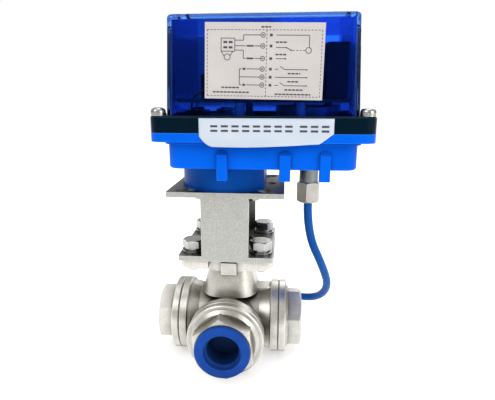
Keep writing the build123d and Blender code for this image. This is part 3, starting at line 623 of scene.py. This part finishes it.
def drawLabel(look):
    art = Print(look)
    left, right, top, bottom, divider = 1.1, 50.8, 3.1, 30.9, 27.1
    art.dashes((left, top), (right, top))
    art.dashes((left, bottom), (right, bottom))
    art.dashes((left, top), (left, bottom))
    art.dashes((right, top), (right, bottom))
    art.dashes((divider, top), (divider, bottom))

    boxLeft, boxRight, boxTop, boxBottom = 7.2, 13.2, 6.6, 12.0
    art.stroke((boxLeft, boxTop), (boxRight, boxTop), (boxRight, boxBottom), (boxLeft, boxBottom),
               (boxLeft, boxTop))
    art.circle(9.9, 14.4, 1.3)
    art.stroke((boxLeft, boxBottom), (8.6, 14.2))
    art.stroke((12.4, boxBottom), (11.1, 14.0))
    for y in (8.2, 10.4):
        art.stroke((8.2, y), (9.9, y), pen=0.9)
        art.stroke((10.5, y), (12.2, y), pen=0.9)

    terminal, mark = 25.4, 29.0
    for y in circuitRows:
        art.circle(terminal, y, 0.95)
        art.stroke((terminal - 0.45, y), (terminal + 0.45, y), pen=0.5)
        art.stroke((mark - 0.6, y), (mark + 0.6, y), pen=1.1)

    elbow = 17.0
    art.stroke((boxRight, 7.4), (elbow, 7.4), (elbow, circuitRows[0]), (terminal - 1, circuitRows[0]))
    art.stroke((boxRight, circuitRows[1]), (18.0, circuitRows[1]))
    art.stroke((boxRight, 11.5), (elbow, 11.5), (elbow, circuitRows[2]), (18.0, circuitRows[2]))
    for y in circuitRows[1:3]:
        art.stroke((18.4, y), (21.4, y), pen=0.7)
        art.stroke((21.9, y), (terminal - 1, y))

    bracket = 15.4
    art.stroke((bracket, circuitRows[3]), (bracket, circuitRows[5]))
    for y in (circuitRows[3], circuitRows[5]):
        art.stroke((bracket, y), (16.4, y))
        art.stroke((16.8, y), (18.0, y), pen=0.9)
        art.stroke((18.5, y), (terminal - 1, y))
    art.stroke((bracket, circuitRows[4]), (terminal - 1, circuitRows[4]))

    supply = 45.4
    art.stroke((31.2, circuitRows[0]), (supply, circuitRows[0]), (supply, 10.2))
    art.circle(45.2, 11.4, 1.2)
    art.stroke((31.2, 10.3), (35.6, 10.3))
    art.stroke((35.6, 10.3), (37.8, 11.4))
    art.dashes((38.4, 11.4), (43.8, 11.4))
    art.dot(35.6, 10.3)
    art.dot(37.8, 11.4)
    art.stroke((31.2, circuitRows[2]), (35.2, circuitRows[2]))
    art.dot(35.4, circuitRows[2])
    for y in (circuitRows[3], circuitRows[5]):
        art.stroke((31.0, y), (32.4, y))
        art.stroke((33.2, y - 1.2), (35.2, y + 0.1), (44.6, y + 0.1))
        art.dot(44.8, y + 0.1)
    art.stroke((31.0, circuitRows[4]), (44.6, circuitRows[4]))
    art.dot(44.8, circuitRows[4])

    # the captions are rows of short grey bars
    captions = [(24.6, 28.8, 1.9), (31.0, 36.0, 8.1), (31.0, 35.6, 13.2),
                (36.6, 42.0, 21.1), (36.6, 41.6, 24.5), (7.4, 15.4, 27.3),
                (3.6, 19.8, 29.3), (35.4, 43.4, 28.0), (31.2, 46.8, 29.9)]
    barLength, barStep, barPen = 1.3, 1.65, 0.62
    for first, last, y in captions:
        x = first
        while x < last:
            art.stroke((x, y), (min(x + barLength, last), y), pen=barPen)
            x += barStep
    piece = addPiece("labelPrint", art.points, art.faces, smooth=False)
    paint(piece, "printInk")


drawLabel(label)
print("label printed")

# ---- note stuck over the frame and the rim

note = {
    "left": -9.4,
    "right": 50.2,
    "top": 114.3,
    "front": -37.5,
    "facingShade": 0.18,
    "columns": 48,
    "rows": 12,
    "curl": 0.9,
    "proud": 0.05,
    "bars": 11,
    "barsFrom": 5.2,
    "barStep": 4.75,
    "barsBeforeGap": 8,
    "gap": 1.6,
    "barSize": (3.2, 0.9),
    "barLevel": 109.8,
    "inkProud": 0.10,
}


def noteFoot(part):
    # height of the lower edge from left to right: a rounded corner, a slow rise and a cut corner
    corner = 4.4 * max(0.0, 1 - part / 0.11) ** 2
    cut = 4.2 * max(0.0, (part - 0.90) / 0.10)
    return 101.9 + corner + 1.6 * part ** 2 + cut - 0.5 * math.sin(math.pi * min(part / 0.85, 1.0))


def makeNote(look):
    points = []
    faces = []
    columns, rows = look["columns"], look["rows"]
    for layer in (0, 1):
        for i in range(columns + 1):
            part = i / columns
            x = look["left"] + (look["right"] - look["left"]) * part
            foot = noteFoot(part)
            for j in range(rows + 1):
                z = look["top"] + (foot - look["top"]) * j / rows
                below = max(0.0, 106.0 - z)
                lift = look["curl"] * (below / 4.0) ** 2 * (0.55 + 0.45 * math.sin(5.0 * part + 0.6))
                ripple = 0.06 * math.sin(17.0 * part) * j / rows
                y = look["front"] - look["proud"] - look["facingShade"] * layer - lift - ripple
                points.append(place(x, y, z))
    step = rows + 1
    back = (columns + 1) * step
    for i in range(columns):
        for j in range(rows):
            a = i * step + j
            faces.append((a, a + step, a + step + 1, a + 1))
            faces.append((a + back, a + back + 1, a + back + step + 1, a + back + step))
    border = [i * step for i in range(columns + 1)]
    border += [columns * step + j for j in range(1, rows + 1)]
    border += [i * step + rows for i in range(columns - 1, -1, -1)]
    border += [j for j in range(rows - 1, 0, -1)]
    for a, b in zip(border, border[1:] + border[:1]):
        faces.append((a, a + back, b + back, b))
    film = addPiece("noteSheet", points, faces)
    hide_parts("note_sticker")
    paint(film, "noteFilm")

    # two rows of short bars, with a gap before the last three
    marks = []
    markFaces = []
    wide, tall = look["barSize"]
    for k in range(look["bars"]):
        x = look["left"] + look["barsFrom"] + look["barStep"] * k
        if k >= look["barsBeforeGap"]:
            x += look["gap"]
        y = look["front"] - look["proud"] - look["facingShade"] - look["inkProud"]
        for rise in (-1.0, 1.0):
            start = len(marks)
            for sx, sz in ((0, -0.5), (1, -0.5), (1, 0.5), (0, 0.5)):
                marks.append(place(x + wide * sx, y, look["barLevel"] + rise + tall * sz))
            markFaces.append((start, start + 1, start + 2, start + 3))
    piece = addPiece("noteMarks", marks, markFaces, smooth=False)
    paint(piece, "printInk")


makeNote(note)
print("note stuck on")

# ---- port threads

thread = {"pitch": 1.814, "crest": 9.06, "root": 9.29, "from": 27.9, "to": 38.5, "sides": 72, "perPitch": 8}


def makeThread(name, axis, look):
    sides = look["sides"]
    count = int((look["to"] - look["from"]) / look["pitch"] * look["perPitch"])
    side = Vector((0, 0, 1))
    other = Vector(axis).cross(side)
    points = []
    faces = []
    for i in range(count + 1):
        along = look["from"] + i * look["pitch"] / look["perPitch"]
        for k in range(sides):
            angle = 2 * math.pi * k / sides
            phase = (along / look["pitch"] + k / sides) % 1.0
            ridge = 1 - abs(2 * phase - 1)
            reach = look["root"] + (look["crest"] - look["root"]) * ridge
            across = side * math.cos(angle) + other * math.sin(angle)
            points.append(ballCentre + (Vector(axis) * along + across * reach) * mm)
    for i in range(count):
        for k in range(sides):
            a, b = i * sides + k, i * sides + (k + 1) % sides
            faces.append((a, a + sides, b + sides, b))
    piece = addPiece(name, points, faces)
    paint(piece, "turnedSteel")


makeThread("leftThread", (-1, 0, 0), thread)
makeThread("rightThread", (1, 0, 0), thread)
print("threads cut")

# ---- wires inside the cover

wires = {
    "radius": 0.00055,
    "runs": {
        "coreRed": [(12, 16, 131), (10, 8, 134), (16, -4, 131), (28, -12, 126), (38, -12, 121.5)],
        "coreBlue": [(19, 16, 131), (20, 8, 135), (26, 0, 132), (36, -6, 127), (44, -12, 121.5)],
        "coreYellow": [(26, 16, 131), (24, 9, 134), (8, 4, 136), (-10, -10, 128), (-19, -12, 122),
                       (-19, -6, 112)],
        "coreGreen": [(33, 16, 131), (36, 10, 133), (46, 8, 131), (51, 16, 127), (53, 23, 121)],
        "coreWhite": [(40, 16, 131), (43, 11, 132), (49, 11, 129), (53, 18, 125), (54, 24, 121)],
    },
}
for colour, run in wires["runs"].items():
    wire = addTube("inner" + colour[4:] + "Wire", [place(*point) for point in run], wires["radius"])
    paint(wire, colour)
print("wires run")

# ---- floor and lights

stage = {
    "floor": (0.93, 0.93, 0.93),
    "floorHalf": 6.0,
    "floorGap": 0.0002,
    "glow": 0.50,
    "aim": (18, 0, 60),
    "worldLight": 0.62,
    "horizon": ((0.49, 0.32), (0.54, 0.42), (0.64, 0.86)),
    "lights": {
        "key": {"place": (-0.55, -0.65, 0.75), "size": 0.55, "power": 3.0},
        "fill": {"place": (0.75, -0.55, 0.40), "size": 0.60, "power": 3.2},
        "top": {"place": (0.05, 0.10, 1.00), "size": 0.70, "power": 2.6},
        "back": {"place": (0.25, 0.85, 0.55), "size": 0.60, "power": 2.4},
    },
}


def setStage(look):
    half = look["floorHalf"]
    corners = [(-half, -half, 0), (half, -half, 0), (half, half, 0), (-half, half, 0)]
    mesh = bpy.data.meshes.new("floor")
    mesh.from_pydata(corners, [], [(0, 1, 2, 3)])
    floor = bpy.data.objects.new("floor", mesh)
    floor.location.z = -look["floorGap"]
    bpy.context.scene.collection.objects.link(floor)
    material, tree, shader = startMaterial("paleFloor")
    shader.inputs["Base Color"].default_value = (*look["floor"], 1)
    shader.inputs["Roughness"].default_value = 0.9
    shader.inputs["Specular IOR Level"].default_value = 0.1
    shader.inputs["Emission Color"].default_value = (1, 1, 1, 1)
    shader.inputs["Emission Strength"].default_value = look["glow"]
    mesh.materials.append(material)

    world = bpy.data.worlds.new("studio")
    bpy.context.scene.world = world
    world.use_nodes = True
    tree = world.node_tree
    tree.nodes.clear()
    where = addNode(tree, "TexCoord")
    parts = addNode(tree, "SeparateXYZ")
    tree.links.new(where.outputs["Generated"], parts.inputs[0])
    ramp = addNode(tree, "ValToRGB")
    rise = addNode(tree, "MapRange", {"From Min": -1.0, "From Max": 1.0})
    tree.links.new(parts.outputs["Z"], rise.inputs["Value"])
    tree.links.new(rise.outputs["Result"], ramp.inputs["Fac"])
    stops = ramp.color_ramp.elements
    stops[0].position = 0.30
    stops[0].color = (0.85, 0.84, 0.82, 1)
    stops[1].position = 1.0
    stops[1].color = (1.0, 1.0, 1.0, 1)
    for position, level in look["horizon"]:
        stop = stops.new(position)
        stop.color = (level, level * 0.98, level * 0.95, 1)
    light = addNode(tree, "Background", {"Strength": look["worldLight"]})
    tree.links.new(ramp.outputs["Color"], light.inputs["Color"])
    plain = addNode(tree, "Background", {"Color": (1, 1, 1, 1), "Strength": 1.0})
    path = addNode(tree, "LightPath")
    pick = addNode(tree, "MixShader")
    tree.links.new(path.outputs["Is Camera Ray"], pick.inputs["Fac"])
    tree.links.new(light.outputs[0], pick.inputs[1])
    tree.links.new(plain.outputs[0], pick.inputs[2])
    output = addNode(tree, "OutputWorld")
    tree.links.new(pick.outputs[0], output.inputs["Surface"])

    aim = place(*look["aim"])
    for name, facts in look["lights"].items():
        data = bpy.data.lights.new(name, "AREA")
        data.size = facts["size"]
        data.energy = facts["power"]
        lamp = bpy.data.objects.new(name, data)
        lamp.location = facts["place"]
        lamp.rotation_euler = (aim - Vector(facts["place"])).to_track_quat("-Z", "Y").to_euler()
        bpy.context.scene.collection.objects.link(lamp)
    bpy.context.scene.view_settings.view_transform = "Standard"


setStage(stage)
print("stage lit")
